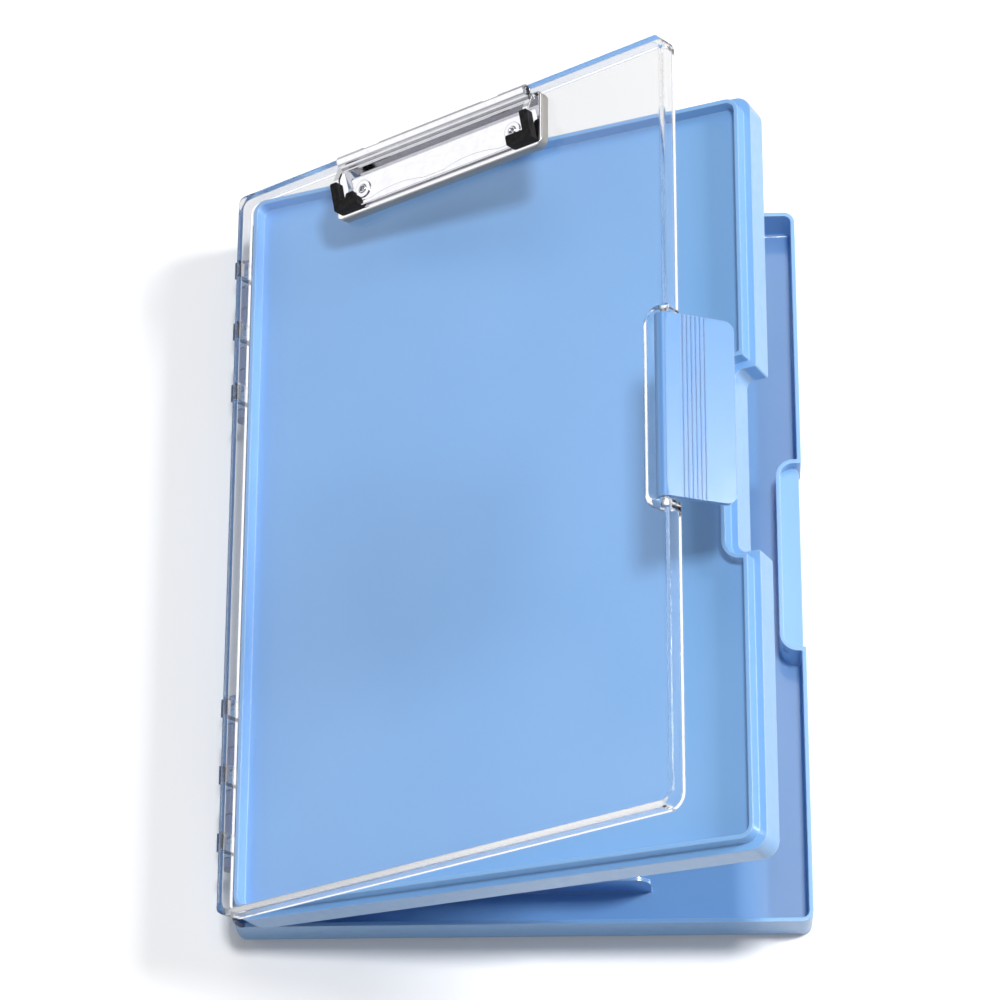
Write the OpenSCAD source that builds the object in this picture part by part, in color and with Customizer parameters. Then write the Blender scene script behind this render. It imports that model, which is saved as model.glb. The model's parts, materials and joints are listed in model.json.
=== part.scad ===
// Storage clipboard box: two trays and a clear cover on one hinge line, with a side latch
// and a low-profile paper clip. Millimetres. X runs across the box from the hinge to the
// latch, Y along the hinge, Z up from the surface that the back tray lies on. The origin
// is on that surface, under the middle of the closed leaves.

/* [Box] */
// Width of the closed leaves, from the hinge side to the latch side
box_w = 240; // [215:1:300]
// Length of the closed leaves along the hinge
box_l = 336; // [310:1:380]
// Corner radius of the leaves, seen from above
corner_r = 7; // [6:0.5:10]
// Wall thickness of the two trays
wall = 1.8; // [1.4:0.1:2]

/* [Back tray] */
// Height of the back tray's rim
tray_h = 21; // [19:1:30]
// How far the back tray is set in from the leaves' outline, so that their skirt goes over it
nest = 2; // [1.9:0.1:2.2]
// Floor thickness of the back tray
tray_floor = 1.8; // [1.2:0.1:2.4]
// Radius of the rounded spine under the hinge
spine_r = 9; // [5:0.5:12]
// Radius under the other three sides
foot_r = 3; // [2.2:0.1:4]
// Width of the pen slot along the near end
pen_slot = 17.6; // [12:0.1:24]
// Length of the rib that walls the pen slot
rib_l = 100; // [40:1:140]
// Height of the rib above the floor
rib_h = 17; // [8:0.5:17]

/* [Middle tray] */
// Height of the ledge above the parting plane
leaf_h = 12; // [11:0.5:18]
// How far the skirt laps over the back tray's rim
lap = 1; // [0.6:0.1:2]
// Plate thickness of the middle tray
leaf_floor = 2; // [1.6:0.1:2.6]
// Width of the ledge that the cover's skirt sits on
ledge_w = 3.2; // [3.1:0.1:3.4]
// Height of the rim around the writing recess
rim_h = 6.6; // [6:0.2:12]

/* [Cover] */
// Thickness of the clear plate
cover_t = 2.2; // [1.8:0.1:2.8]
// Thickness of the cover's skirt
skirt_t = 2.8; // [2.4:0.1:2.8]
// Rounding of the cover's upper edges
cover_r = 2.2; // [1:0.1:2.4]

/* [Latch] */
// Length of the notch in the latch side
notch_l = 82; // [60:1:110]
// Depth of the notch in the leaves
notch_d = 9.5; // [9.3:0.1:11]
// Corner radius inside the notch
notch_r = 4; // [2:0.5:5]
// Play between the latch and each end of the notch
latch_play = 1; // [0.6:0.1:2]
// Radius of the latch's barrel
latch_r = 3.8; // [3.4:0.1:4]
// Thickness of the latch plate
latch_t = 2.2; // [1.6:0.1:2.6]
// Height of the shelf in the back tray that the latch hooks under
shelf_z = 15; // [10:0.5:16]
// Thickness of the shelf
shelf_t = 2; // [1.4:0.1:3]
// Number of grip grooves across the latch
groove_n = 6; // [1:1:7]
// Radius of the latch's rod
rod_r = 1.25; // [1:0.05:1.5]

/* [Hinge] */
// Distance of the pin's axis outside the leaves
pin_out = 6; // [5.9:0.1:7]
// Height of the pin's axis above the back tray's rim
pin_up = 3; // [2.6:0.1:3.4]
// Radius of the knuckles
barrel_r = 5.2; // [4.6:0.1:5.4]
// Radius of the hinge pins
pin_r = 1.5; // [1.2:0.1:2]
// Distance from the middle of the box to the first knuckle
hinge_in = 65; // [60:1:68]
// Length of the trays' knuckles
knuckle_l = 10.8; // [9:0.2:11]
// Length of the cover's knuckles
clear_l = 8.4; // [7:0.2:9]
// Length of the short knuckle at each end of a hinge
end_l = 4.5; // [3.4:0.1:5]
// Knuckles in each hinge, shared in turn by the three leaves
knuckle_n = 9; // [6:3:9]

/* [Clip] */
// Length of the clip's base plate
clip_w = 115; // [100:1:130]
// Distance of the clip's middle from the cover's middle, toward the latch
clip_x = 2.2; // [-6:0.2:6]
// Depth of the clip's base plate
clip_d = 26; // [24:0.5:28]
// Height of the base plate's flange
clip_h = 4.6; // [3.6:0.1:6]
// Distance from the base plate to the cover's far edge
clip_back = 8.5; // [7:0.5:14]
// Sheet thickness of the clip
sheet = 0.9; // [0.7:0.1:1.1]
// Radius of the lever's rolled barrel
roll_r = 2.8; // [2.6:0.1:3]
// Height of the lever's crest over the base plate
crest_h = 4.4; // [3.6:0.1:5.4]
// Width of the lever's two legs
leg_w = 3; // [2.4:0.1:4]
// Height of the rubber corners
grip_h = 3.6; // [3:0.1:4.4]
// Length of the rubber corners along the jaw
grip_l = 13.6; // [10:0.2:18]
// Distance of each rivet from the end of the base plate
rivet_in = 15.5; // [14:0.5:20]

/* [Pose] */
// Angle the middle tray stands open at
tray_open = 23; // [0:1:80]
// Angle the cover stands open at, measured from the back tray
cover_open = 37; // [0:1:90]
// Angle the latch stands open at, measured from its closed place
latch_open = 30; // [0:1:90]

/* [Hidden] */
$fn = 48;

// radial clearance of what turns on a pin
fit = 0.05;
// gap between pieces that close on each other
gap = 0.2;
// overlap that joins two shapes of one piece
weld = 0.6;
// radius at the mouth of the notch
mouth_r = 0.8;
// reach of a cut past the piece
past = 30;

// heights of the closed box
ledge_z = tray_h + leaf_h;
rim_z = ledge_z + rim_h;
cover_z = rim_z + gap + cover_t;

// hinge axis, measured from the leaves' hinge side
pin_x = -pin_out;
pin_z = tray_h + pin_up;
spine_x = pin_x - 1;
triple_l = clear_l + 2 * knuckle_l;
hinge_out = hinge_in + 2 * end_l + knuckle_n / 3 * triple_l - 2 * knuckle_l;
zone_in = hinge_in - 9;
zone_out = hinge_out + 3.4;

// pivot of the latch, and the edge of the plate that hangs from it
latch_x = box_w - latch_r;
latch_z = cover_z - latch_r;
hook_gap = 0.6;
hook_h = 3.4;
hook_d = 3.2;
latch_tip = shelf_z - shelf_t - hook_gap - hook_h;
latch_l = notch_l - 2 * latch_play;

// the clip, measured from the middle of its base plate
clip_y = box_l / 2 - clip_back - clip_d / 2;
clip_top = cover_z + clip_h;
clip_rod_r = 1;
clip_rod_y = clip_y + clip_d / 2 - 0.6;
clip_rod_z = clip_top + roll_r + 0.6;
clip_front = clip_y - clip_d / 2 + 2.6;
crest_y = clip_front + 12.4;
jaw_z = clip_top + 0.8;
lever_w = clip_w - 5.6;
roll_l = clip_w - 10;
ear_x = clip_w / 2 - 24;
ear_t = 1.2;
rivet_x = clip_w / 2 - rivet_in;
rivet_r = 1.6;
rivet_y = clip_y - 2.2;

blue = [0.47, 0.68, 0.93];
chrome = [0.82, 0.83, 0.85];
steel = [0.62, 0.64, 0.67];

// ---- placing ----

module in_frame() {
    translate([-box_w / 2, 0, 0]) children();
}

// a leaf swung open about the hinge pins
module on_leaf(angle) {
    in_frame() translate([pin_x, 0, pin_z]) rotate([0, -angle, 0])
        translate([-pin_x, 0, -pin_z]) children();
}

// the latch swung out about its rod, on the cover
module on_latch() {
    on_leaf(cover_open) translate([latch_x, 0, latch_z]) rotate([0, -latch_open, 0])
        translate([-latch_x, 0, -latch_z]) children();
}

// a profile drawn with x across and y up, swept along Y between two places
module sweep_y(y0, y1) {
    translate([0, y1, 0]) rotate([90, 0, 0]) linear_extrude(height = y1 - y0) children();
}

// a profile drawn with y along and z up, swept along X between two places
module sweep_x(x0, x1) {
    translate([x0, 0, 0]) rotate([90, 0, 90]) linear_extrude(height = x1 - x0) children();
}

// ---- outlines ----

// rectangle with round corners, from its two ends in each direction
module round_rect(x0, x1, y0, y1, r) {
    translate([x0 + r, y0]) square([x1 - x0 - 2 * r, y1 - y0]);
    translate([x0, y0 + r]) square([x1 - x0, y1 - y0 - 2 * r]);
    for (x = [x0 + r, x1 - r], y = [y0 + r, y1 - r])
        translate([x, y]) circle(r = r);
}

// the notch for the latch, grown by the inset of the outline it is cut from
module notch(inset, mouth_r) {
    edge = box_w - inset;
    half = notch_l / 2 + inset;
    round_rect(edge - notch_d, edge + past, -half, half, notch_r + inset);
    for (s = [-1, 1])
        translate([edge - mouth_r, s * (half + mouth_r)]) difference() {
            translate([0, s > 0 ? -mouth_r - weld : 0]) square([mouth_r + weld, mouth_r + weld]);
            circle(r = mouth_r);
        }
}

// outline of a leaf or tray set in by a distance, from a given hinge side
module outline(left, inset, r, mouth_r) {
    difference() {
        round_rect(left, box_w - inset, -box_l / 2 + inset, box_l / 2 - inset, r);
        notch(inset, mouth_r);
    }
}

// outline of a leaf, set in evenly all round
module leaf(inset) {
    outline(inset, inset, corner_r - inset, mouth_r);
}

// outline of the rim around the writing recess, whose corners are rounder than the leaf's
module rim(inset) {
    outline(inset, inset, corner_r + 2.2 - inset, mouth_r);
}

// section that rounds the two lower corners of what it is swept through
module cradle(a, b, z, ra, rb) {
    difference() {
        translate([a, z]) square([b - a, cover_z]);
        translate([a, z]) difference() {
            translate([-weld, -weld]) square([ra + weld, ra + weld]);
            translate([ra, ra]) circle(r = ra);
        }
        translate([b, z]) difference() {
            translate([-rb, -weld]) square([rb + weld, rb + weld]);
            translate([-rb, rb]) circle(r = rb);
        }
    }
}

// section that rounds the two upper corners of what it is swept through
module crown(a, b, top, r) {
    translate([0, top]) mirror([0, 1]) cradle(a, b, 0, r, r);
}

// ---- hinge ----

// where a knuckle begins along the hinge, and how long it is: a short one at each end,
// and between them the cover's knuckles with two of the trays' after each
function knuckle_start(i) = i == 0 ? 0 : end_l + floor((i - 1) / 3) * triple_l
    + ((i - 1) % 3 > 0 ? clear_l : 0) + ((i - 1) % 3 > 1 ? knuckle_l : 0);

function knuckle_run(i) = i == 0 || i == knuckle_n - 1 ? end_l : i % 3 == 1 ? clear_l : knuckle_l;

// one knuckle's place along the hinge, on the far or the near side
module knuckle_at(i, side) {
    y = hinge_in + knuckle_start(i) + gap;
    translate([0, side > 0 ? y : -y - $run, 0]) children();
}

// all knuckles of one leaf: a barrel on the pin, with the arm drawn by children
module knuckles(turn) {
    difference() {
        for (side = [-1, 1], i = [turn : 3 : knuckle_n - 1]) {
            $run = knuckle_run(i) - 2 * gap;
            knuckle_at(i, side) {
                translate([pin_x, 0, pin_z]) rotate([-90, 0, 0])
                    cylinder(r = barrel_r, h = $run);
                children();
            }
        }
        pin_bores();
    }
}

module pin_bores() {
    for (side = [-1, 1])
        hinge_pin(side, pin_r + fit, 1);
}

module hinge_pin(side, r, more) {
    y = hinge_in - more;
    h = hinge_out - hinge_in + 2 * more;
    translate([pin_x, side > 0 ? y : -y - h, pin_z]) rotate([-90, 0, 0]) cylinder(r = r, h = h);
}

// the stretch of the hinge side that the knuckles need, between two heights
module hinge_zone(x0, x1, z0, z1) {
    for (side = [-1, 1]) {
        translate([x0, side > 0 ? zone_in : -zone_out, z0])
            cube([x1 - x0, zone_out - zone_in, z1 - z0]);
    }
}

// ---- back tray ----

// the tray's solid form, set in by a distance from its outer faces
module tray_form(inset, z) {
    d = nest + inset;
    intersection() {
        translate([0, 0, z]) linear_extrude(height = cover_z)
            outline(spine_x + inset, d, corner_r - d, mouth_r);
        sweep_y(-box_l, box_l)
            cradle(spine_x + inset, box_w - d, z, spine_r - inset, foot_r - inset);
        sweep_x(spine_x - past, box_w + past)
            cradle(-box_l / 2 + d, box_l / 2 - d, z, foot_r - inset, foot_r - inset);
    }
}

// the shelf across the notch, tied into the tray's wall
module latch_shelf() {
    x0 = box_w - nest - notch_d - wall / 2;
    half = notch_l / 2 + nest + wall / 2;
    translate([0, 0, shelf_z - shelf_t]) linear_extrude(height = shelf_t) intersection() {
        round_rect(x0, box_w - nest - 1, -half, half, notch_r);
        translate([x0, -half]) square([notch_d + wall, 2 * half]);
    }
}

// the rib that walls the pen slot, with its free end rounded off
module pen_rib() {
    x0 = box_w / 2 - rib_l / 2;
    y0 = -box_l / 2 + nest + wall + pen_slot;
    sweep_y(y0, y0 + wall) intersection() {
        translate([x0, tray_floor - weld]) square([rib_l, rib_h + weld]);
        crown(x0, x0 + rib_l, tray_floor + rib_h, rib_h / 2);
    }
}

module back_tray() {
    color(blue) in_frame() {
        difference() {
            union() {
                difference() {
                    tray_form(0, 0);
                    tray_form(wall, tray_floor);
                    translate([-past, -box_l, tray_h]) cube([box_w + 2 * past, 2 * box_l, past]);
                }
                latch_shelf();
                pen_rib();
            }
            hinge_zone(spine_x - 1, 0, pin_z - barrel_r - 0.6, tray_h + 1);
        }
        knuckles(0) translate([spine_x, 0, pin_z - barrel_r - 3])
            cube([wall + 1.6, $run, barrel_r + 3]);
    }
}

// ---- middle tray ----

// a flange that closes the gap over the back tray's spine
module spine_flange() {
    z = tray_h + 0.4;
    difference() {
        translate([spine_x + 0.4, -box_l / 2 + corner_r, z])
            cube([-spine_x + weld, box_l - 2 * corner_r, 1.4]);
        hinge_zone(spine_x - 1, -0.01, z - 1, z + 3);
    }
}

module middle_tray() {
    color(blue) on_leaf(tray_open) {
        // plate, whose edge is the ledge
        translate([0, 0, ledge_z - leaf_floor]) linear_extrude(height = leaf_floor) leaf(0);
        // skirt over the back tray's rim, cut short where the tray's ends run on to its spine
        difference() {
            translate([0, 0, tray_h - lap]) linear_extrude(height = leaf_h + lap) difference() {
                leaf(0);
                leaf(wall);
            }
            translate([-1, -box_l, 0]) cube([corner_r + 1, 2 * box_l, tray_h + 0.4]);
        }
        // rim around the writing recess
        translate([0, 0, ledge_z - weld]) linear_extrude(height = rim_h + weld) difference() {
            rim(ledge_w);
            rim(ledge_w + wall);
        }
        spine_flange();
        knuckles(2) translate([pin_x, 0, pin_z + 0.4])
            cube([pin_out + wall / 2, $run, barrel_r - 0.8]);
    }
}

// ---- cover ----

module clear_cover() {
    color([0.92, 0.96, 1, 0.35]) on_leaf(cover_open) {
        difference() {
            intersection() {
                difference() {
                    translate([0, 0, ledge_z + gap])
                        linear_extrude(height = cover_z - ledge_z - gap) leaf(0);
                    translate([0, 0, ledge_z - 1])
                        linear_extrude(height = cover_z - cover_t - ledge_z + 1) leaf(skirt_t);
                }
                sweep_y(-box_l, box_l) crown(0, box_w, cover_z, cover_r);
                sweep_x(-past, box_w + past) crown(-box_l / 2, box_l / 2, cover_z, cover_r);
            }
            latch_bore(rod_r + fit, 1);
            rivet_holes(cover_z - cover_t - 1, cover_t + 2);
        }
        // arms down to the knuckles, outside the middle tray
        knuckles(1) {
            translate([-3.6, 0, pin_z]) cube([3.2, $run, cover_z - 4 - pin_z]);
            translate([-3.6, 0, ledge_z + 2 * gap])
                cube([3.6 + skirt_t / 2, $run, cover_z - 4 - ledge_z - 2 * gap]);
        }
    }
}

module rivet_holes(z, h) {
    for (s = [-1, 1])
        translate([box_w / 2 + clip_x + s * rivet_x, rivet_y, z])
            cylinder(r = rivet_r + 0.1, h = h);
}

// ---- latch ----

// rod through the end walls of the cover's notch
module latch_bore(r, more) {
    half = notch_l / 2 + skirt_t - 0.3 + more;
    translate([latch_x, -half, latch_z]) rotate([-90, 0, 0]) cylinder(r = r, h = 2 * half);
}

module latch() {
    color([0.6, 0.79, 0.99]) on_latch() difference() {
        union() {
            translate([latch_x, -latch_l / 2, latch_z]) rotate([-90, 0, 0])
                cylinder(r = latch_r, h = latch_l);
            // plate, with its free corners rounded
            sweep_x(box_w - latch_t, box_w)
                round_rect(-latch_l / 2, latch_l / 2, latch_tip, latch_z + 1, 4.5);
            translate([0, 0, latch_z - 3]) sweep_x(box_w - latch_t, box_w)
                translate([-latch_l / 2, 0]) square([latch_l, 3]);
            // hook along the free edge
            sweep_y(-latch_l / 2 + 4.5, latch_l / 2 - 4.5)
                polygon([
                    [box_w - latch_t + weld, latch_tip],
                    [box_w - latch_t, latch_tip],
                    [box_w - latch_t - hook_d, latch_tip + hook_h * 0.45],
                    [box_w - latch_t - hook_d, latch_tip + hook_h],
                    [box_w - latch_t + weld, latch_tip + hook_h]]);
        }
        latch_bore(rod_r + fit, 3);
        for (i = [0 : groove_n - 1])
            translate([box_w - 0.35, -latch_l, latch_z - 6.6 - i * 1.9])
                cube([1, 2 * latch_l, 0.8]);
    }
}

module latch_pin() {
    color(steel) on_leaf(cover_open) latch_bore(rod_r, 0);
}

// ---- clip ----

module on_clip() {
    on_leaf(cover_open) translate([box_w / 2 + clip_x, 0, 0]) children();
}

// block with round corners and soft upper edges
module soft_block(w, y0, y1, z0, z1, plan_r, edge_r) {
    intersection() {
        translate([0, 0, z0]) linear_extrude(height = z1 - z0)
            round_rect(-w / 2, w / 2, y0, y1, plan_r);
        sweep_y(-box_l, box_l) crown(-w / 2, w / 2, z1, edge_r);
        sweep_x(-w, w) crown(y0, y1, z1, edge_r);
    }
}

module clip_base_plate() {
    y0 = clip_y - clip_d / 2;
    y1 = clip_y + clip_d / 2;
    color(chrome) on_clip() {
        difference() {
            soft_block(clip_w, y0, y1, cover_z, clip_top, 4, 1.4);
            soft_block(clip_w - 2 * sheet, y0 + sheet, y1 - sheet, cover_z - 1, clip_top - sheet,
                4 - sheet, 0.5);
            for (s = [-1, 1])
                translate([s * rivet_x, rivet_y, clip_top - 2]) cylinder(r = rivet_r + 0.1, h = 4);
        }
        // two ears that hold the rod
        for (s = [-1, 1])
            sweep_x(s * ear_x - ear_t / 2, s * ear_x + ear_t / 2) difference() {
                union() {
                    translate([clip_rod_y, clip_rod_z]) circle(r = 1.9);
                    translate([clip_rod_y - 1.9, clip_top - sheet / 2])
                        square([2.4, clip_rod_z - clip_top + sheet / 2]);
                }
                translate([clip_rod_y, clip_rod_z]) circle(r = clip_rod_r + fit);
            }
    }
}

// side view of the lever's bent sheet: from the barrel up to its crest and down to the jaw
module bent_sheet(z0, z1, y0, y1) {
    intersection() {
        polygon([
            [clip_rod_y - 1.3, clip_rod_z - 2 + z0],
            [crest_y + 1.5, clip_top + crest_h + z0],
            [crest_y, clip_top + crest_h + z0],
            [clip_front - 12.4, 2 * jaw_z - clip_top - crest_h + z0],
            [clip_front - 12.4, 2 * jaw_z - clip_top - crest_h + z1],
            [crest_y, clip_top + crest_h + z1],
            [crest_y + 1.5, clip_top + crest_h + z1],
            [clip_rod_y - 1.3, clip_rod_z - 2 + z1]]);
        translate([y0, 0]) square([y1 - y0, 2 * clip_rod_z]);
    }
}

// the lever's sheet: two legs, a strip along the barrel and a waved jaw
module lever_sheet() {
    half = lever_w / 2;
    wave_r = 66;
    intersection() {
        sweep_x(-half, half) bent_sheet(0, sheet, clip_front, clip_rod_y);
        translate([0, 0, cover_z]) linear_extrude(height = past) {
            for (s = [-1, 1])
                translate([s * (half - leg_w / 2) - leg_w / 2, clip_front])
                    square([leg_w, clip_rod_y - clip_front]);
            translate([-half, clip_rod_y - 5.6]) square([lever_w, 5.6]);
            translate([-half, clip_front]) square([lever_w, 1.3]);
            intersection() {
                translate([-half, clip_front]) square([lever_w, leg_w + 1]);
                for (s = [-1, 1])
                    translate([s * clip_w * 0.18, clip_front + 3 - wave_r])
                        circle(r = wave_r, $fn = 200);
            }
        }
    }
}

module clip_lever() {
    end = roll_l / 2;
    color(chrome) on_clip() difference() {
        union() {
            lever_sheet();
            translate([-end, clip_rod_y, clip_rod_z]) rotate([0, 90, 0])
                cylinder(r = roll_r, h = roll_l);
        }
        // hollow, but rolled tight on the rod near both ends
        translate([0, clip_rod_y, clip_rod_z]) rotate([0, 90, 0]) {
            translate([0, 0, -end - 5]) cylinder(r = clip_rod_r + fit, h = roll_l + 10);
            translate([0, 0, -end + 12]) cylinder(r = roll_r - 0.7, h = roll_l - 24);
            for (s = [-1, 1])
                translate([0, 0, s * end - 3]) cylinder(r = roll_r - 0.7, h = 6);
        }
        // open below and behind at the ears and springs
        for (s = [-1, 1])
            sweep_x(s * ear_x - 5, s * ear_x + 5) translate([clip_rod_y, clip_rod_z])
                polygon([[0, 0], [-2.4, 0.8], [-2.4, -5], [5, -5], [5, 5], [1.8, 5]]);
    }
}

module clip_rod() {
    end = roll_l / 2 - 1;
    color(steel) on_clip() translate([-end, clip_rod_y, clip_rod_z]) rotate([0, 90, 0])
        cylinder(r = clip_rod_r, h = 2 * end);
}

// torsion spring beside an ear, one leg down to the base plate and one hooked in the barrel
module clip_spring(side) {
    wire = 0.3;
    coil = clip_rod_r + 0.1 + wire;
    pitch = 0.56;
    x0 = side * (ear_x + 1.3);
    color(steel) on_clip() translate([x0, clip_rod_y, clip_rod_z]) {
        rotate([0, side * 90, 0]) rotate_extrude()
            for (i = [0 : 4])
                translate([coil, i * pitch]) circle(r = wire, $fn = 24);
        translate([0, -coil, clip_top - clip_rod_z])
            cylinder(r = wire * 0.8, h = clip_rod_z - clip_top, $fn = 24);
        translate([side * 4 * pitch, coil, 0])
            cylinder(r = wire * 0.8, h = 1.3, $fn = 24);
    }
}

module clip_spring_left() {
    clip_spring(-1);
}

module clip_spring_right() {
    clip_spring(1);
}

// rubber corner around the lever's front corner: an L that follows the sheet
module clip_grip(side) {
    x1 = lever_w / 2 + 0.6;
    y0 = clip_front - 0.4;
    color([0.07, 0.07, 0.08]) on_clip() difference() {
        mirror([side > 0 ? 0 : 1, 0, 0]) intersection() {
            translate([0, 0, clip_top + 0.1]) linear_extrude(height = past) {
                round_rect(x1 - leg_w - 1.3, x1, y0, y0 + 12.2, 0.8);
                round_rect(x1 - grip_l, x1, y0, y0 + leg_w + 1.3, 0.8);
            }
            sweep_x(0, clip_w) bent_sheet(-0.7, grip_h - 0.7, clip_front - 1, crest_y);
        }
        lever_sheet();
    }
}

module clip_grip_left() {
    clip_grip(-1);
}

module clip_grip_right() {
    clip_grip(1);
}

// hollow rivets from the base plate down through the cover
module clip_rivets() {
    under = cover_z - cover_t - 0.7;
    color(chrome) on_clip() for (s = [-1, 1])
        translate([s * rivet_x, rivet_y, 0]) difference() {
            union() {
                translate([0, 0, clip_top]) cylinder(r = 4.1, h = 0.5);
                translate([0, 0, under - 0.6]) cylinder(r = rivet_r, h = clip_top + 0.9 - under);
                translate([0, 0, under - 0.6]) cylinder(r = 2.5, h = 0.6);
                // rolled edge around the hollow
                translate([0, 0, clip_top + 0.5]) rotate_extrude()
                    translate([rivet_r, 0]) circle(r = 0.5, $fn = 24);
            }
            translate([0, 0, clip_top - 2]) cylinder(r = rivet_r - 0.45, h = 4);
        }
}

module rivet_washers() {
    color(steel) on_clip() for (s = [-1, 1])
        translate([s * rivet_x, rivet_y, cover_z - cover_t - 0.7]) difference() {
            cylinder(r = 4, h = 0.7);
            translate([0, 0, -1]) cylinder(r = rivet_r + 0.1, h = 3);
        }
}

module upper_hinge_pin() {
    color(steel) in_frame() hinge_pin(1, pin_r, -gap);
}

module lower_hinge_pin() {
    color(steel) in_frame() hinge_pin(-1, pin_r, -gap);
}

back_tray();
middle_tray();
clear_cover();
upper_hinge_pin();
lower_hinge_pin();
latch();
latch_pin();
clip_base_plate();
clip_lever();
clip_rod();
clip_spring_left();
clip_spring_right();
clip_grip_left();
clip_grip_right();
clip_rivets();
rivet_washers();
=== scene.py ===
"""Storage clipboard box: finishes, wound clip springs and a studio round the CAD model's nodes."""

import json
import math

import bmesh
import bpy
from bpy.props import (
    FloatProperty,
    FloatVectorProperty,
    IntProperty,
    PointerProperty,
)
from bpy.types import Operator, Panel, PropertyGroup
from mathutils import Matrix, Vector


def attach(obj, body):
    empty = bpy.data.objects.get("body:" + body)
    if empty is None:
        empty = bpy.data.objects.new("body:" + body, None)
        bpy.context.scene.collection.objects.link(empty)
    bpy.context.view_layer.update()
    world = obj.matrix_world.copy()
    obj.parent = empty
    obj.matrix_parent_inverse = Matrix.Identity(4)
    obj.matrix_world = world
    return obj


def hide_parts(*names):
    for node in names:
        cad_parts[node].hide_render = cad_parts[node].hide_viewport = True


bl_info = {
    "name": "Storage Clipboard Box",
    "version": (1, 0, 0),
    "blender": (4, 5, 0),
    "location": "3D View > Sidebar > Clipboard Box",
    "description": "Finishes the trays, cover, latch and paper clip of a storage clipboard box",
    "category": "Object",
}

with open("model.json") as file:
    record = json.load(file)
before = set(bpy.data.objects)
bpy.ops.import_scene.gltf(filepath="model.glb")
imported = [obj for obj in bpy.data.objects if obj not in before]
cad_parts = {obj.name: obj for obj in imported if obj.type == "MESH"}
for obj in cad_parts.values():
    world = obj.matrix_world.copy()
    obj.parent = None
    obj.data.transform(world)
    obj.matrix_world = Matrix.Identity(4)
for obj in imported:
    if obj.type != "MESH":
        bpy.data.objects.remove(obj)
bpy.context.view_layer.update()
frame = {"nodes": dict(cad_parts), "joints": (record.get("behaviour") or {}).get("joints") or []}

JOINTS = {joint["name"]: joint for joint in frame["joints"]}
# The cover's hinge axis and its angle at rest, which the clip's springs are laid out from.
HINGE_AXIS = Vector(JOINTS["cover_hinge"]["pos_m"])
CLIP_AXIS = Vector(JOINTS["clip_lever_hinge"]["axis"])
COVER_ANGLE = math.atan2(-CLIP_AXIS.z, -CLIP_AXIS.x)
COVER_NORMAL = Vector((-math.sin(COVER_ANGLE), 0.0, math.cos(COVER_ANGLE)))
# The clip rod's middle at rest and on the closed cover, and the plate that the springs stand on.
ROD_AT_REST = Vector(JOINTS["clip_lever_hinge"]["pos_m"])
ROD_MIDDLE = HINGE_AXIS + Matrix.Rotation(COVER_ANGLE, 3, "Y") @ (ROD_AT_REST - HINGE_AXIS)
PLATE_TOP = 0.0466
ROD_RADIUS = 0.001
# The base plate's top over the hinge axis, square to the cover, and the hinge barrels' radius.
FLANGE_TOP = PLATE_TOP - HINGE_AXIS.z
BARREL_RADIUS = 0.0052
# How far from the rod's middle each spring's first turn starts.
SPRING_START = 0.0348

# Marks in the finishes, as repeats per metre.
FLOW_SCALE = 9.0
SCUFF_SCALE = 160.0
GRAIN_SCALE = 2600.0
SWIRL_SCALE = 34.0
PLATE_MARK_SCALE = 240.0
STREAK_SCALE = (60.0, 2600.0, 2600.0)
STEEL_MARK_SCALE = 420.0
STEEL_GRAIN_SCALE = 3000.0
DUST_SCALE = 300.0
PEBBLE_SCALE = 2200.0
FLOOR_TONE_SCALE = 3.0

# Optical values of the plastics and the rubber.
PLASTIC_IOR = 1.5
PLASTIC_COAT = 0.9
PLASTIC_COAT_ROUGHNESS = 0.14
COVER_IOR = 1.3
RUBBER_GLOSS = 0.12

# Rounding that the shading gives to plated and rubber edges, and heights of their fine marks.
PLATE_EDGE = 0.00045
RUBBER_EDGE = 0.0004
STREAK_HEIGHT = 0.000004
STEEL_GRAIN_HEIGHT = 0.000006
PEBBLE_HEIGHT = 0.00002

# The satin flange, whose beige grey colour is a painted reflection: how far below the plate's top it
# starts and is full, and its added roughness.
SATIN_START = 0.0002
SATIN_FULL = 0.0007
SATIN_ROUGHNESS = 0.3

# The floor: its colours as lit, as mirrored by the box and as seen through the cover.
FLOOR_COLOURS = (0.95, 0.95, 0.955), (0.97, 0.97, 0.97)
FLOOR_MIRRORED = (0.6, 0.6, 0.61, 1.0)
FLOOR_THROUGH_COVER = (0.67, 0.66, 0.64, 1.0)
FLOOR_HALF_WIDTH = 6.0
FLOOR_DROP = 0.0002

# The sky goes from the bright band on the hinge side to an even grey.
SKY_BAND = 0.08, (1.25, 1.25, 1.28, 1)
SKY_REST = 0.16, (0.19, 0.191, 0.195, 1)

# Each lamp's name, the setting with its power, its place and its width. All face LAMP_TARGET.
LAMP_TARGET = Vector((0.0, 0.0, 0.05))
LAMPS = (
    ("key_light", "key", (0.27, -0.02, 1.9), 0.22),
    ("side_light", "side", (1.45, 0.35, 1.3), 0.5),
    ("top_light", "top", (-0.08, 0.78, 1.75), 0.7),
    ("front_light", "front", (0.25, -1.9, 0.75), 0.8),
)


# ---- properties ----


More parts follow.
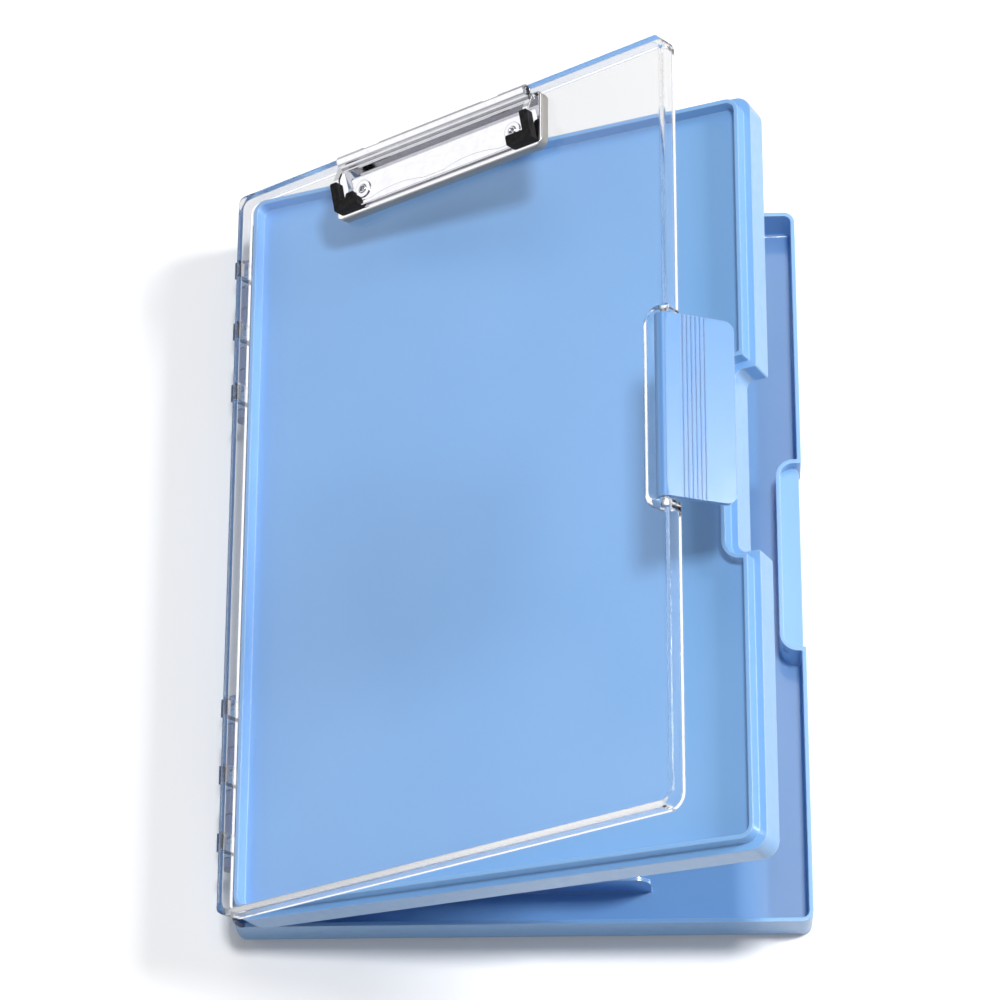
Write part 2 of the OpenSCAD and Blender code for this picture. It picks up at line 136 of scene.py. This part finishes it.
class PlasticSettings(PropertyGroup):
    """Moulded blue trays and latch"""

    tray_colour: FloatVectorProperty(
        name="Tray colour",
        description="Colour of the two trays",
        subtype="COLOR",
        size=3,
        min=0,
        max=1,
        default=(0.18, 0.395, 0.72),
    )
    latch_colour: FloatVectorProperty(
        name="Latch colour",
        description="Colour of the latch",
        subtype="COLOR",
        size=3,
        min=0,
        max=1,
        default=(0.085, 0.245, 0.54),
    )
    # Painted shade: the dark navy given to the trays' hinge barrels stands in for the shade they lie
    # in under the leaves.
    barrel_shade_colour: FloatVectorProperty(
        name="Barrel colour",
        description="Colour of the trays' hinge barrels",
        subtype="COLOR",
        size=3,
        min=0,
        max=1,
        default=(0.035, 0.075, 0.20),
    )
    roughness: FloatProperty(
        name="Roughness",
        description="Roughness of the moulded surface",
        subtype="FACTOR",
        min=0.05,
        max=1,
        default=0.34,
    )
    grain: FloatProperty(
        name="Grain height",
        description="Height of the fine moulding grain",
        unit="LENGTH",
        min=0,
        max=0.0002,
        precision=6,
        default=0.00001,
    )
    edge_radius: FloatProperty(
        name="Edge radius",
        description="Rounding that the shading gives to moulded edges",
        unit="LENGTH",
        min=0,
        max=0.002,
        precision=5,
        default=0.0008,
    )


class ClearSettings(PropertyGroup):
    """Clear cover"""

    tint: FloatVectorProperty(
        name="Tint",
        description="Tint of the clear plastic",
        subtype="COLOR",
        size=3,
        min=0,
        max=1,
        default=(0.95, 0.96, 0.985),
    )
    # Painted shade: the grey edge tint stands in for the dark lines that refraction draws along the
    # cover's edges.
    edge_shade_tint: FloatVectorProperty(
        name="Edge tint",
        description="Tint of the plastic along its edges",
        subtype="COLOR",
        size=3,
        min=0,
        max=1,
        default=(0.62, 0.63, 0.64),
    )
    edge_radius: FloatProperty(
        name="Edge radius",
        description="Rounding that the shading gives to the cover's edges",
        unit="LENGTH",
        min=0,
        max=0.002,
        precision=5,
        default=0.0008,
    )
    lamp_tint: FloatVectorProperty(
        name="Lamp tint",
        description="Tint that the plastic gives to the light on what it covers",
        subtype="COLOR",
        size=3,
        min=0,
        max=1,
        default=(0.985, 0.992, 1.0),
    )
    roughness: FloatProperty(
        name="Roughness",
        description="Roughness of the polished plastic",
        subtype="FACTOR",
        min=0,
        max=0.3,
        default=0.02,
    )


class MetalSettings(PropertyGroup):
    """Plated sheet and plain steel of the clip and pins"""

    plate_colour: FloatVectorProperty(
        name="Plated colour",
        description="Colour of the plated sheet",
        subtype="COLOR",
        size=3,
        min=0,
        max=1,
        default=(0.80, 0.80, 0.82),
    )
    # Painted reflection: the darker beige grey of the flange stands in for the dim surroundings that
    # the flange mirrors.
    flange_painted_reflection_colour: FloatVectorProperty(
        name="Flange colour",
        description="Colour of the base plate's satin flange",
        subtype="COLOR",
        size=3,
        min=0,
        max=1,
        default=(0.33, 0.315, 0.295),
    )
    steel_colour: FloatVectorProperty(
        name="Steel colour",
        description="Colour of the pins, rod, washers and springs",
        subtype="COLOR",
        size=3,
        min=0,
        max=1,
        default=(0.52, 0.53, 0.55),
    )
    plate_roughness: FloatProperty(
        name="Plated roughness",
        description="Roughness of the plated sheet",
        subtype="FACTOR",
        min=0.02,
        max=1,
        default=0.06,
    )
    wire: FloatProperty(
        name="Spring wire",
        description="Diameter of the clip springs' wire",
        unit="LENGTH",
        min=0.0003,
        max=0.0007,
        precision=5,
        default=0.00055,
    )
    turns: IntProperty(
        name="Spring turns",
        description="Turns of each clip spring",
        min=2,
        max=6,
        default=4,
    )


class RubberSettings(PropertyGroup):
    """Rubber corners of the clip"""

    colour: FloatVectorProperty(
        name="Rubber colour",
        description="Colour of the rubber corners",
        subtype="COLOR",
        size=3,
        min=0,
        max=1,
        default=(0.0045, 0.0045, 0.005),
    )
    roughness: FloatProperty(
        name="Roughness",
        description="Roughness of the rubber",
        subtype="FACTOR",
        min=0.1,
        max=1,
        default=0.55,
    )


class StageSettings(PropertyGroup):
    """Camera, floor and lights"""

    azimuth: FloatProperty(
        name="Azimuth",
        description="Camera's turn around the box, 0 looking along +Y",
        subtype="ANGLE",
        default=math.radians(6.508),
    )
    elevation: FloatProperty(
        name="Elevation",
        description="Camera's height angle above the floor",
        subtype="ANGLE",
        default=math.radians(67.132),
    )
    roll: FloatProperty(
        name="Roll",
        description="Camera's turn about its own line of sight",
        subtype="ANGLE",
        default=math.radians(-6.857),
    )
    distance: FloatProperty(
        name="Distance",
        description="Camera's distance from its target",
        unit="LENGTH",
        min=0.2,
        max=6,
        default=1.7782,
    )
    target: FloatVectorProperty(
        name="Target",
        description="Point on the floor that the camera looks at",
        subtype="TRANSLATION",
        size=3,
        default=(-0.01535, 0.03626, 0.0),
    )
    lens: FloatProperty(
        name="Focal length",
        description="Focal length on a 36 mm sensor, in millimetres",
        min=20,
        max=300,
        default=143.93,
    )
    world: FloatProperty(
        name="Sky light",
        description="Strength of the even light from all round",
        min=0,
        max=4,
        default=1.0,
    )
    key: FloatProperty(
        name="Key light",
        description="Power of the small light overhead",
        unit="POWER",
        min=0,
        max=200,
        default=19,
    )
    side: FloatProperty(
        name="Side light",
        description="Power of the light from the latch side",
        unit="POWER",
        min=0,
        max=200,
        default=32,
    )
    top: FloatProperty(
        name="Top light",
        description="Power of the wide light over the far side",
        unit="POWER",
        min=0,
        max=200,
        default=3,
    )
    front: FloatProperty(
        name="Front light",
        description="Power of the wide low light in front",
        unit="POWER",
        min=0,
        max=200,
        default=6,
    )


# ---- node building ----


def new_material(name):
    """An empty node material with its output and a Principled shader, joined."""
    m = bpy.data.materials.new(name)
    m.use_nodes = True
    t = m.node_tree
    t.nodes.clear()
    out = t.nodes.new("ShaderNodeOutputMaterial")
    shader = t.nodes.new("ShaderNodeBsdfPrincipled")
    t.links.new(shader.outputs["BSDF"], out.inputs["Surface"])
    return m, t, shader, out


def noise(tree, coords, scale, detail=3.0, rough=0.5):
    """A noise texture read in the object's own metres."""
    n = tree.nodes.new("ShaderNodeTexNoise")
    n.inputs["Scale"].default_value = scale
    n.inputs["Detail"].default_value = detail
    n.inputs["Roughness"].default_value = rough
    tree.links.new(coords.outputs["Object"], n.inputs["Vector"])
    return n.outputs["Fac"]


def remap(tree, socket, low, high, start=0.3, stop=0.7):
    """A value between low and high as the socket goes from start to stop."""
    n = tree.nodes.new("ShaderNodeMapRange")
    n.inputs["From Min"].default_value = start
    n.inputs["From Max"].default_value = stop
    n.inputs["To Min"].default_value = low
    n.inputs["To Max"].default_value = high
    tree.links.new(socket, n.inputs["Value"])
    return n.outputs["Result"]


def blend_colours(tree, factor, a, b):
    """A colour that goes from a to b with the factor; each is a colour or a socket."""
    n = tree.nodes.new("ShaderNodeMix")
    n.data_type = "RGBA"
    tree.links.new(factor, n.inputs["Factor"])
    for key, value in (("A", a), ("B", b)):
        socket = next(
            s for s in n.inputs if s.name == key and s.type == "RGBA"
        )
        if isinstance(value, bpy.types.NodeSocket):
            tree.links.new(value, socket)
        else:
            socket.default_value = (*value[:3], 1.0)
    return next(s for s in n.outputs if s.type == "RGBA")


def bump(tree, height, strength, distance, normal=None):
    """A bump from a height socket, over another normal if one is given."""
    n = tree.nodes.new("ShaderNodeBump")
    n.inputs["Strength"].default_value = strength
    n.inputs["Distance"].default_value = distance
    tree.links.new(height, n.inputs["Height"])
    if normal is not None:
        tree.links.new(normal, n.inputs["Normal"])
    return n.outputs["Normal"]


def soft_edges(tree, radius):
    """A normal rounded over edges, and how far it leans from the flat one there."""
    bevel = tree.nodes.new("ShaderNodeBevel")
    bevel.samples = 4
    bevel.inputs["Radius"].default_value = radius
    geometry = tree.nodes.new("ShaderNodeNewGeometry")
    dot = tree.nodes.new("ShaderNodeVectorMath")
    dot.operation = "DOT_PRODUCT"
    tree.links.new(bevel.outputs["Normal"], dot.inputs[0])
    tree.links.new(geometry.outputs["Normal"], dot.inputs[1])
    lean = remap(tree, dot.outputs["Value"], 1.0, 0.0, 0.75, 0.995)
    return bevel.outputs["Normal"], lean


def height_over(tree, coords, origin, direction):
    """How far the surface lies from the origin along a direction."""
    away = tree.nodes.new("ShaderNodeVectorMath")
    away.operation = "SUBTRACT"
    away.inputs[1].default_value = origin
    tree.links.new(coords.outputs["Object"], away.inputs[0])
    along = tree.nodes.new("ShaderNodeVectorMath")
    along.operation = "DOT_PRODUCT"
    along.inputs[1].default_value = direction
    tree.links.new(away.outputs["Vector"], along.inputs[0])
    return along.outputs["Value"]


def by_ray(tree, surface, others):
    """The surface, with another shader in its place for each kind of ray named."""
    path = tree.nodes.new("ShaderNodeLightPath")
    for ray, other in others:
        mix = tree.nodes.new("ShaderNodeMixShader")
        tree.links.new(path.outputs[ray], mix.inputs["Fac"])
        tree.links.new(surface, mix.inputs[1])
        tree.links.new(other, mix.inputs[2])
        surface = mix.outputs["Shader"]
    return surface


def lighter(colour, share):
    """The colour moved a share of the way to white."""
    return tuple(c + (1 - c) * share for c in colour[:3])


def darker(colour, share):
    """The colour with a share of its light taken off."""
    return tuple(c * (1 - share) for c in colour[:3])


# ---- materials ----


def moulded_plastic(name, colour, settings, shade_barrels=False):
    """Satin moulded plastic: fine grain, faint flow shading, a painted highlight along its edges, and
    painted shade on the hinge barrels when asked.
    """
    m, t, shader, _ = new_material(name)
    coords = t.nodes.new("ShaderNodeTexCoord")
    flow = remap(t, noise(t, coords, FLOW_SCALE, 2.0), 0.0, 1.0)
    scuffs = remap(t, noise(t, coords, SCUFF_SCALE, 5.0, 0.62), 0.0, 1.0, 0.42, 0.68)
    normal, edge = soft_edges(t, settings.edge_radius)
    base = blend_colours(t, flow, darker(colour, 0.035), lighter(colour, 0.025))
    # Painted highlight: the colour goes up to halfway to white where the rounded shading normal leans
    # over an edge.
    edge_toned_colour = blend_colours(t, remap(t, edge, 0.0, 0.55, 0.0, 1.0), base, lighter(colour, 0.5))
    # Painted shade: within the hinge barrels' radius the colour turns to the dark navy barrel shade
    # colour.
    if shade_barrels:
        away = t.nodes.new("ShaderNodeVectorMath")
        away.operation = "MULTIPLY_ADD"
        away.inputs[1].default_value = (1.0, 0.0, 1.0)
        away.inputs[2].default_value = -HINGE_AXIS
        t.links.new(coords.outputs["Object"], away.inputs[0])
        reach = t.nodes.new("ShaderNodeVectorMath")
        reach.operation = "LENGTH"
        t.links.new(away.outputs["Vector"], reach.inputs[0])
        barrel_shade_mask = remap(
            t, reach.outputs["Value"], 1.0, 0.0, BARREL_RADIUS + 0.0001, BARREL_RADIUS + 0.0006
        )
        edge_toned_colour = blend_colours(t, barrel_shade_mask, edge_toned_colour, settings.barrel_shade_colour)
    t.links.new(edge_toned_colour, shader.inputs["Base Color"])
    rough = remap(t, scuffs, settings.roughness - 0.05, settings.roughness + 0.07, 0.0, 1.0)
    t.links.new(rough, shader.inputs["Roughness"])
    shader.inputs["IOR"].default_value = PLASTIC_IOR
    shader.inputs["Coat Weight"].default_value = PLASTIC_COAT
    shader.inputs["Coat Roughness"].default_value = PLASTIC_COAT_ROUGHNESS
    grain = noise(t, coords, GRAIN_SCALE, 2.0)
    t.links.new(bump(t, grain, 0.5, settings.grain, normal), shader.inputs["Normal"])
    return m


def clear_plastic(name, settings):
    """Clear plastic with faint swirls and painted shade along its edges, which lets lamps through to
    what it covers.
    """
    m, t, shader, out = new_material(name)
    coords = t.nodes.new("ShaderNodeTexCoord")
    normal, edge = soft_edges(t, settings.edge_radius)
    swirl = remap(t, noise(t, coords, SWIRL_SCALE, 4.0), 0.0, 0.035, 0.35, 0.75)
    add = t.nodes.new("ShaderNodeMath")
    add.operation = "ADD"
    add.inputs[1].default_value = settings.roughness
    t.links.new(swirl, add.inputs[0])
    t.links.new(add.outputs["Value"], shader.inputs["Roughness"])
    # Painted shade: the tint turns greyer where the rounded shading normal leans over an edge.
    edge_shade_mask = remap(t, edge, 0.0, 0.6, 0.0, 1.0)
    tint = blend_colours(t, edge_shade_mask, settings.tint, settings.edge_shade_tint)
    t.links.new(tint, shader.inputs["Base Color"])
    t.links.new(normal, shader.inputs["Normal"])
    shader.inputs["Transmission Weight"].default_value = 1.0
    shader.inputs["IOR"].default_value = COVER_IOR
    through = t.nodes.new("ShaderNodeBsdfTransparent")
    through.inputs["Color"].default_value = (*settings.lamp_tint, 1.0)
    lit = through.outputs["BSDF"]
    surface = by_ray(
        t, shader.outputs["BSDF"], (("Is Diffuse Ray", lit), ("Is Shadow Ray", lit))
    )
    t.links.new(surface, out.inputs["Surface"])
    return m


def plated_sheet(name, settings, flange=False):
    """Bright plated sheet with faint roller streaks and painted shade along its edges; its flange is
    satin, with a painted reflection in its colour.
    """
    m, t, shader, _ = new_material(name)
    coords = t.nodes.new("ShaderNodeTexCoord")
    stretch = t.nodes.new("ShaderNodeMapping")
    stretch.inputs["Scale"].default_value = STREAK_SCALE
    t.links.new(coords.outputs["Object"], stretch.inputs["Vector"])
    streaks = t.nodes.new("ShaderNodeTexNoise")
    streaks.inputs["Scale"].default_value = 1.0
    streaks.inputs["Detail"].default_value = 3.0
    t.links.new(stretch.outputs["Vector"], streaks.inputs["Vector"])
    normal, edge = soft_edges(t, PLATE_EDGE)
    marks = remap(t, noise(t, coords, PLATE_MARK_SCALE, 5.0, 0.6), 0.0, 1.0, 0.45, 0.7)
    base = blend_colours(t, marks, settings.plate_colour, darker(settings.plate_colour, 0.06))
    # Painted shade: the plated colour darkens by up to 0.7 where the rounded shading normal leans over
    # an edge, standing in for dark reflections there.
    base = blend_colours(
        t, remap(t, edge, 0.0, 0.9, 0.0, 1.0), base, darker(settings.plate_colour, 0.7)
    )
    shader.inputs["Metallic"].default_value = 1.0
    rough = remap(
        t,
        streaks.outputs["Fac"],
        settings.plate_roughness - 0.02,
        settings.plate_roughness + 0.03,
    )
    if flange:
        height = height_over(t, coords, HINGE_AXIS, COVER_NORMAL)
        satin_and_reflection_mask = remap(t, height, 1.0, 0.0, FLANGE_TOP - SATIN_FULL, FLANGE_TOP - SATIN_START)
        # Painted reflection: over the flange the colour turns to the darker flange colour; the raised
        # roughness is a real satin finish.
        base = blend_colours(t, satin_and_reflection_mask, base, settings.flange_painted_reflection_colour)
        t.links.new(remap(t, satin_and_reflection_mask, 1.0, 0.6, 0.0, 1.0), shader.inputs["Metallic"])
        total = t.nodes.new("ShaderNodeMath")
        total.operation = "MULTIPLY_ADD"
        total.inputs[1].default_value = SATIN_ROUGHNESS
        t.links.new(satin_and_reflection_mask, total.inputs[0])
        t.links.new(rough, total.inputs[2])
        rough = total.outputs["Value"]
    t.links.new(base, shader.inputs["Base Color"])
    t.links.new(rough, shader.inputs["Roughness"])
    t.links.new(
        bump(t, streaks.outputs["Fac"], 0.25, STREAK_HEIGHT, normal), shader.inputs["Normal"]
    )
    return m


def drawn_steel(name, settings):
    """Plain drawn steel of pins, rod, washers and springs."""
    m, t, shader, _ = new_material(name)
    coords = t.nodes.new("ShaderNodeTexCoord")
    marks = remap(t, noise(t, coords, STEEL_MARK_SCALE, 4.0, 0.6), 0.0, 1.0)
    base = blend_colours(
        t, marks, darker(settings.steel_colour, 0.12), lighter(settings.steel_colour, 0.1)
    )
    t.links.new(base, shader.inputs["Base Color"])
    shader.inputs["Metallic"].default_value = 1.0
    t.links.new(remap(t, marks, 0.24, 0.38, 0.0, 1.0), shader.inputs["Roughness"])
    t.links.new(
        bump(t, noise(t, coords, STEEL_GRAIN_SCALE, 2.0), 0.3, STEEL_GRAIN_HEIGHT),
        shader.inputs["Normal"],
    )
    return m


def moulded_rubber(name, settings):
    """Black moulded rubber: dull, with a fine pebble and slightly greyer along its edges."""
    m, t, shader, _ = new_material(name)
    coords = t.nodes.new("ShaderNodeTexCoord")
    dust = remap(t, noise(t, coords, DUST_SCALE, 5.0, 0.6), 0.0, 1.0, 0.4, 0.75)
    normal, edge = soft_edges(t, RUBBER_EDGE)
    base = blend_colours(t, dust, settings.colour, lighter(settings.colour, 0.02))
    # Slightly greyer where the rounded shading normal leans over an edge.
    edge_toned_colour = blend_colours(
        t, remap(t, edge, 0.0, 0.5, 0.0, 1.0), base, lighter(settings.colour, 0.06)
    )
    t.links.new(edge_toned_colour, shader.inputs["Base Color"])
    rough = remap(t, dust, settings.roughness - 0.05, settings.roughness + 0.12, 0.0, 1.0)
    t.links.new(rough, shader.inputs["Roughness"])
    shader.inputs["Specular IOR Level"].default_value = RUBBER_GLOSS
    pebble = t.nodes.new("ShaderNodeTexVoronoi")
    pebble.inputs["Scale"].default_value = PEBBLE_SCALE
    t.links.new(coords.outputs["Object"], pebble.inputs["Vector"])
    t.links.new(
        bump(t, pebble.outputs["Distance"], 0.35, PEBBLE_HEIGHT, normal),
        shader.inputs["Normal"],
    )
    return m


def studio_floor(name):
    """Pale matt floor, dimmer in what the box mirrors and in what is seen through the cover."""
    m, t, shader, out = new_material(name)
    coords = t.nodes.new("ShaderNodeTexCoord")
    tone = remap(t, noise(t, coords, FLOOR_TONE_SCALE, 2.0), 0.0, 1.0)
    base = blend_colours(t, tone, *FLOOR_COLOURS)
    t.links.new(base, shader.inputs["Base Color"])
    shader.inputs["Roughness"].default_value = 0.95
    shader.inputs["Specular IOR Level"].default_value = 0.1
    dimmed = []
    for ray, colour in (
        ("Is Reflection Ray", FLOOR_MIRRORED),
        ("Is Transmission Ray", FLOOR_THROUGH_COVER),
    ):
        dim = t.nodes.new("ShaderNodeBsdfDiffuse")
        dim.inputs["Color"].default_value = colour
        dimmed.append((ray, dim.outputs["BSDF"]))
    t.links.new(by_ray(t, shader.outputs["BSDF"], dimmed), out.inputs["Surface"])
    return m


def finish_nodes(material, *names):
    """Gives CAD nodes a material in each of their slots."""
    for name in names:
        for slot in frame["nodes"][name].material_slots:
            slot.material = material


# ---- springs ----


def on_cover(point):
    """A point given on the closed cover, moved to where the open cover carries it at rest."""
    turn = Matrix.Rotation(-COVER_ANGLE, 3, "Y")
    return HINGE_AXIS + turn @ (Vector(point) - HINGE_AXIS)


def spring_path(side, settings):
    """Middle line of one torsion spring: foot on the plate, turns round the rod, short hook."""
    radius = ROD_RADIUS + 0.0001 + settings.wire / 2
    pitch = settings.wire * 1.08
    start = ROD_MIDDLE + Vector((side * SPRING_START, 0.0, 0.0))
    points = [start + Vector((0, -radius, PLATE_TOP + settings.wire / 2 - ROD_MIDDLE.z))]
    points.append(start + Vector((0, -radius, -radius * 0.5)))
    steps = 24
    for i in range(settings.turns * steps + steps // 2 + 1):
        angle = math.pi - 2 * math.pi * i / steps
        along = side * pitch * i / steps
        points.append(
            start + Vector((along, radius * math.cos(angle), radius * math.sin(angle)))
        )
    points.append(points[-1] + Vector((0, 0, -0.0009)))
    return [on_cover(p) for p in points]


def tube_mesh(name, path, radius, sides=10):
    """A closed tube of round section along a path."""
    mesh = bmesh.new()
    rings = []
    reference = (path[1] - path[0]).orthogonal().normalized()
    for i, point in enumerate(path):
        ahead = path[min(i + 1, len(path) - 1)] - path[max(i - 1, 0)]
        ahead.normalize()
        reference = (reference - ahead * reference.dot(ahead)).normalized()
        across = ahead.cross(reference)
        ring = []
        for k in range(sides):
            angle = 2 * math.pi * k / sides
            offset = reference * math.cos(angle) + across * math.sin(angle)
            ring.append(mesh.verts.new(point + offset * radius))
        rings.append(ring)
    for a, b in zip(rings, rings[1:]):
        for k in range(sides):
            mesh.faces.new((a[k], a[(k + 1) % sides], b[(k + 1) % sides], b[k]))
    mesh.faces.new(list(reversed(rings[0])))
    mesh.faces.new(rings[-1])
    bmesh.ops.recalc_face_normals(mesh, faces=mesh.faces)
    for face in mesh.faces:
        face.smooth = len(face.verts) == 4
    data = bpy.data.meshes.new(name)
    mesh.to_mesh(data)
    mesh.free()
    piece = bpy.data.objects.new(name, data)
    bpy.context.scene.collection.objects.link(piece)
    return piece


# ---- operators ----


class CLIPBOX_OT_trays(Operator):
    """Finish the back tray and the middle tray in moulded blue plastic"""

    bl_idname = "clipbox.trays"
    bl_label = "Trays"

    def execute(self, context):
        plastic = context.scene.clipbox_plastic
        # The trays' hinge barrels get painted shade.
        blue = moulded_plastic("tray_plastic", plastic.tray_colour, plastic, True)
        finish_nodes(blue, "back_tray", "middle_tray")
        return {"FINISHED"}


class CLIPBOX_OT_cover(Operator):
    """Finish the cover in clear plastic"""

    bl_idname = "clipbox.cover"
    bl_label = "Clear cover"

    def execute(self, context):
        clear = clear_plastic("cover_plastic", context.scene.clipbox_clear)
        finish_nodes(clear, "clear_cover")
        return {"FINISHED"}


class CLIPBOX_OT_latch(Operator):
    """Finish the latch in a paler blue plastic, and its rod in steel"""

    bl_idname = "clipbox.latch"
    bl_label = "Latch"

    def execute(self, context):
        plastic = context.scene.clipbox_plastic
        pale = moulded_plastic("latch_plastic", plastic.latch_colour, plastic)
        finish_nodes(pale, "latch")
        steel = drawn_steel("latch_pin_steel", context.scene.clipbox_metal)
        finish_nodes(steel, "latch_pin")
        return {"FINISHED"}


class CLIPBOX_OT_hinge_pins(Operator):
    """Finish the two hinge pins in drawn steel"""

    bl_idname = "clipbox.hinge_pins"
    bl_label = "Hinge pins"

    def execute(self, context):
        steel = drawn_steel("hinge_pin_steel", context.scene.clipbox_metal)
        finish_nodes(steel, "upper_hinge_pin", "lower_hinge_pin")
        return {"FINISHED"}


class CLIPBOX_OT_clip(Operator):
    """Finish the clip's plated sheet, rivets, rod and washers"""

    bl_idname = "clipbox.clip"
    bl_label = "Paper clip"

    def execute(self, context):
        metal = context.scene.clipbox_metal
        plated = plated_sheet("clip_plating", metal)
        finish_nodes(plated, "clip_lever", "clip_rivets")
        finish_nodes(plated_sheet("clip_plate_plating", metal, True), "clip_base_plate")
        steel = drawn_steel("clip_steel", metal)
        finish_nodes(steel, "clip_rod", "rivet_washers")
        return {"FINISHED"}


class CLIPBOX_OT_grips(Operator):
    """Finish the clip's rubber corners"""

    bl_idname = "clipbox.grips"
    bl_label = "Rubber corners"

    def execute(self, context):
        rubber = moulded_rubber("corner_rubber", context.scene.clipbox_rubber)
        finish_nodes(rubber, "clip_grip_left", "clip_grip_right")
        return {"FINISHED"}


class CLIPBOX_OT_springs(Operator):
    """Wind the clip's two torsion springs round the rod"""

    bl_idname = "clipbox.springs"
    bl_label = "Clip springs"

    def execute(self, context):
        metal = context.scene.clipbox_metal
        steel = drawn_steel("spring_steel", metal)
        for side, word in ((-1, "left"), (1, "right")):
            path = spring_path(side, metal)
            spring = tube_mesh("wound_spring_" + word, path, metal.wire / 2)
            spring.data.materials.append(steel)
            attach(spring, "cover")
            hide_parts("clip_spring_" + word)
        return {"FINISHED"}


class CLIPBOX_OT_stage(Operator):
    """Set up the pale floor, the soft lights and the camera"""

    bl_idname = "clipbox.stage"
    bl_label = "Stage"

    def execute(self, context):
        settings = context.scene.clipbox_stage
        self.floor()
        self.sky(context, settings)
        for name, setting, place, size in LAMPS:
            self.lamp(name, place, size, getattr(settings, setting))
        self.camera(context, settings)
        return {"FINISHED"}

    def floor(self):
        """A wide sheet just under the box."""
        mesh = bmesh.new()
        bmesh.ops.create_grid(mesh, x_segments=8, y_segments=8, size=FLOOR_HALF_WIDTH)
        data = bpy.data.meshes.new("studio_floor")
        mesh.to_mesh(data)
        mesh.free()
        floor = bpy.data.objects.new("studio_floor", data)
        floor.location.z = -FLOOR_DROP
        floor.data.materials.append(studio_floor("floor_paint"))
        bpy.context.scene.collection.objects.link(floor)

    def sky(self, context, settings):
        """Dim grey sky with one bright band low on the hinge side, for metal and edges to show."""
        world = bpy.data.worlds.new("soft_studio")
        world.use_nodes = True
        t = world.node_tree
        t.nodes.clear()
        out = t.nodes.new("ShaderNodeOutputWorld")
        light = t.nodes.new("ShaderNodeBackground")
        coords = t.nodes.new("ShaderNodeTexCoord")
        split = t.nodes.new("ShaderNodeSeparateXYZ")
        ramp = t.nodes.new("ShaderNodeValToRGB")
        across = remap(t, split.outputs["X"], 0.0, 1.0, -1.0, 1.0)
        for stop, (position, colour) in zip(ramp.color_ramp.elements, (SKY_BAND, SKY_REST)):
            stop.position = position
            stop.color = colour
        t.links.new(coords.outputs["Generated"], split.inputs["Vector"])
        t.links.new(across, ramp.inputs["Fac"])
        t.links.new(ramp.outputs["Color"], light.inputs["Color"])
        light.inputs["Strength"].default_value = settings.world
        t.links.new(light.outputs["Background"], out.inputs["Surface"])
        context.scene.world = world

    def lamp(self, name, place, size, power):
        """A square area light that faces the box."""
        data = bpy.data.lights.new(name, "AREA")
        data.shape = "SQUARE"
        data.size = size
        data.energy = power
        lamp = bpy.data.objects.new(name, data)
        lamp.location = place
        aim = LAMP_TARGET - Vector(place)
        lamp.rotation_euler = aim.to_track_quat("-Z", "Y").to_euler()
        bpy.context.scene.collection.objects.link(lamp)

    def camera(self, context, settings):
        """The camera, from its turn, height angle and roll about the target."""
        flat = math.cos(settings.elevation)
        back = Vector(
            (
                math.sin(settings.azimuth) * flat,
                -math.cos(settings.azimuth) * flat,
                math.sin(settings.elevation),
            )
        )
        right = (-back).cross(Vector((0, 0, 1))).normalized()
        up = right.cross(-back)
        turn = math.cos(settings.roll), math.sin(settings.roll)
        x_axis = right * turn[0] + up * turn[1]
        y_axis = up * turn[0] - right * turn[1]
        place = Vector(settings.target) + back * settings.distance
        data = bpy.data.cameras.new("box_camera")
        data.sensor_width = 36.0
        data.lens = settings.lens
        data.clip_end = 50.0
        camera = bpy.data.objects.new("box_camera", data)
        rows = [(x_axis[i], y_axis[i], back[i], place[i]) for i in range(3)]
        camera.matrix_world = Matrix((*rows, (0, 0, 0, 1)))
        context.scene.collection.objects.link(camera)
        context.scene.camera = camera
        context.scene.view_settings.view_transform = "Standard"


OPERATORS = (
    CLIPBOX_OT_trays,
    CLIPBOX_OT_cover,
    CLIPBOX_OT_latch,
    CLIPBOX_OT_hinge_pins,
    CLIPBOX_OT_clip,
    CLIPBOX_OT_grips,
    CLIPBOX_OT_springs,
    CLIPBOX_OT_stage,
)
SETTINGS = (
    ("clipbox_plastic", PlasticSettings),
    ("clipbox_clear", ClearSettings),
    ("clipbox_metal", MetalSettings),
    ("clipbox_rubber", RubberSettings),
    ("clipbox_stage", StageSettings),
)


class CLIPBOX_PT_panel(Panel):
    """Sizes, colours and build steps of the storage clipboard box"""

    bl_idname = "CLIPBOX_PT_panel"
    bl_label = "Storage Clipboard Box"
    bl_space_type = "VIEW_3D"
    bl_region_type = "UI"
    bl_category = "Clipboard Box"

    def draw(self, context):
        for name, kind in SETTINGS:
            box = self.layout.box()
            box.label(text=kind.__doc__)
            for key in kind.__annotations__:
                box.prop(getattr(context.scene, name), key)
        for kind in OPERATORS:
            self.layout.operator(kind.bl_idname)


def register():
    for name, kind in SETTINGS:
        bpy.utils.register_class(kind)
        setattr(bpy.types.Scene, name, PointerProperty(type=kind))
    for kind in (*OPERATORS, CLIPBOX_PT_panel):
        bpy.utils.register_class(kind)


def unregister():
    for kind in (CLIPBOX_PT_panel, *reversed(OPERATORS)):
        bpy.utils.unregister_class(kind)
    for name, kind in reversed(SETTINGS):
        delattr(bpy.types.Scene, name)
        bpy.utils.unregister_class(kind)


def main():
    register()
    bpy.ops.clipbox.trays()
    bpy.ops.clipbox.cover()
    bpy.ops.clipbox.latch()
    bpy.ops.clipbox.hinge_pins()
    bpy.ops.clipbox.clip()
    bpy.ops.clipbox.grips()
    bpy.ops.clipbox.springs()
    bpy.ops.clipbox.stage()


if __name__ == "__main__":
    main()
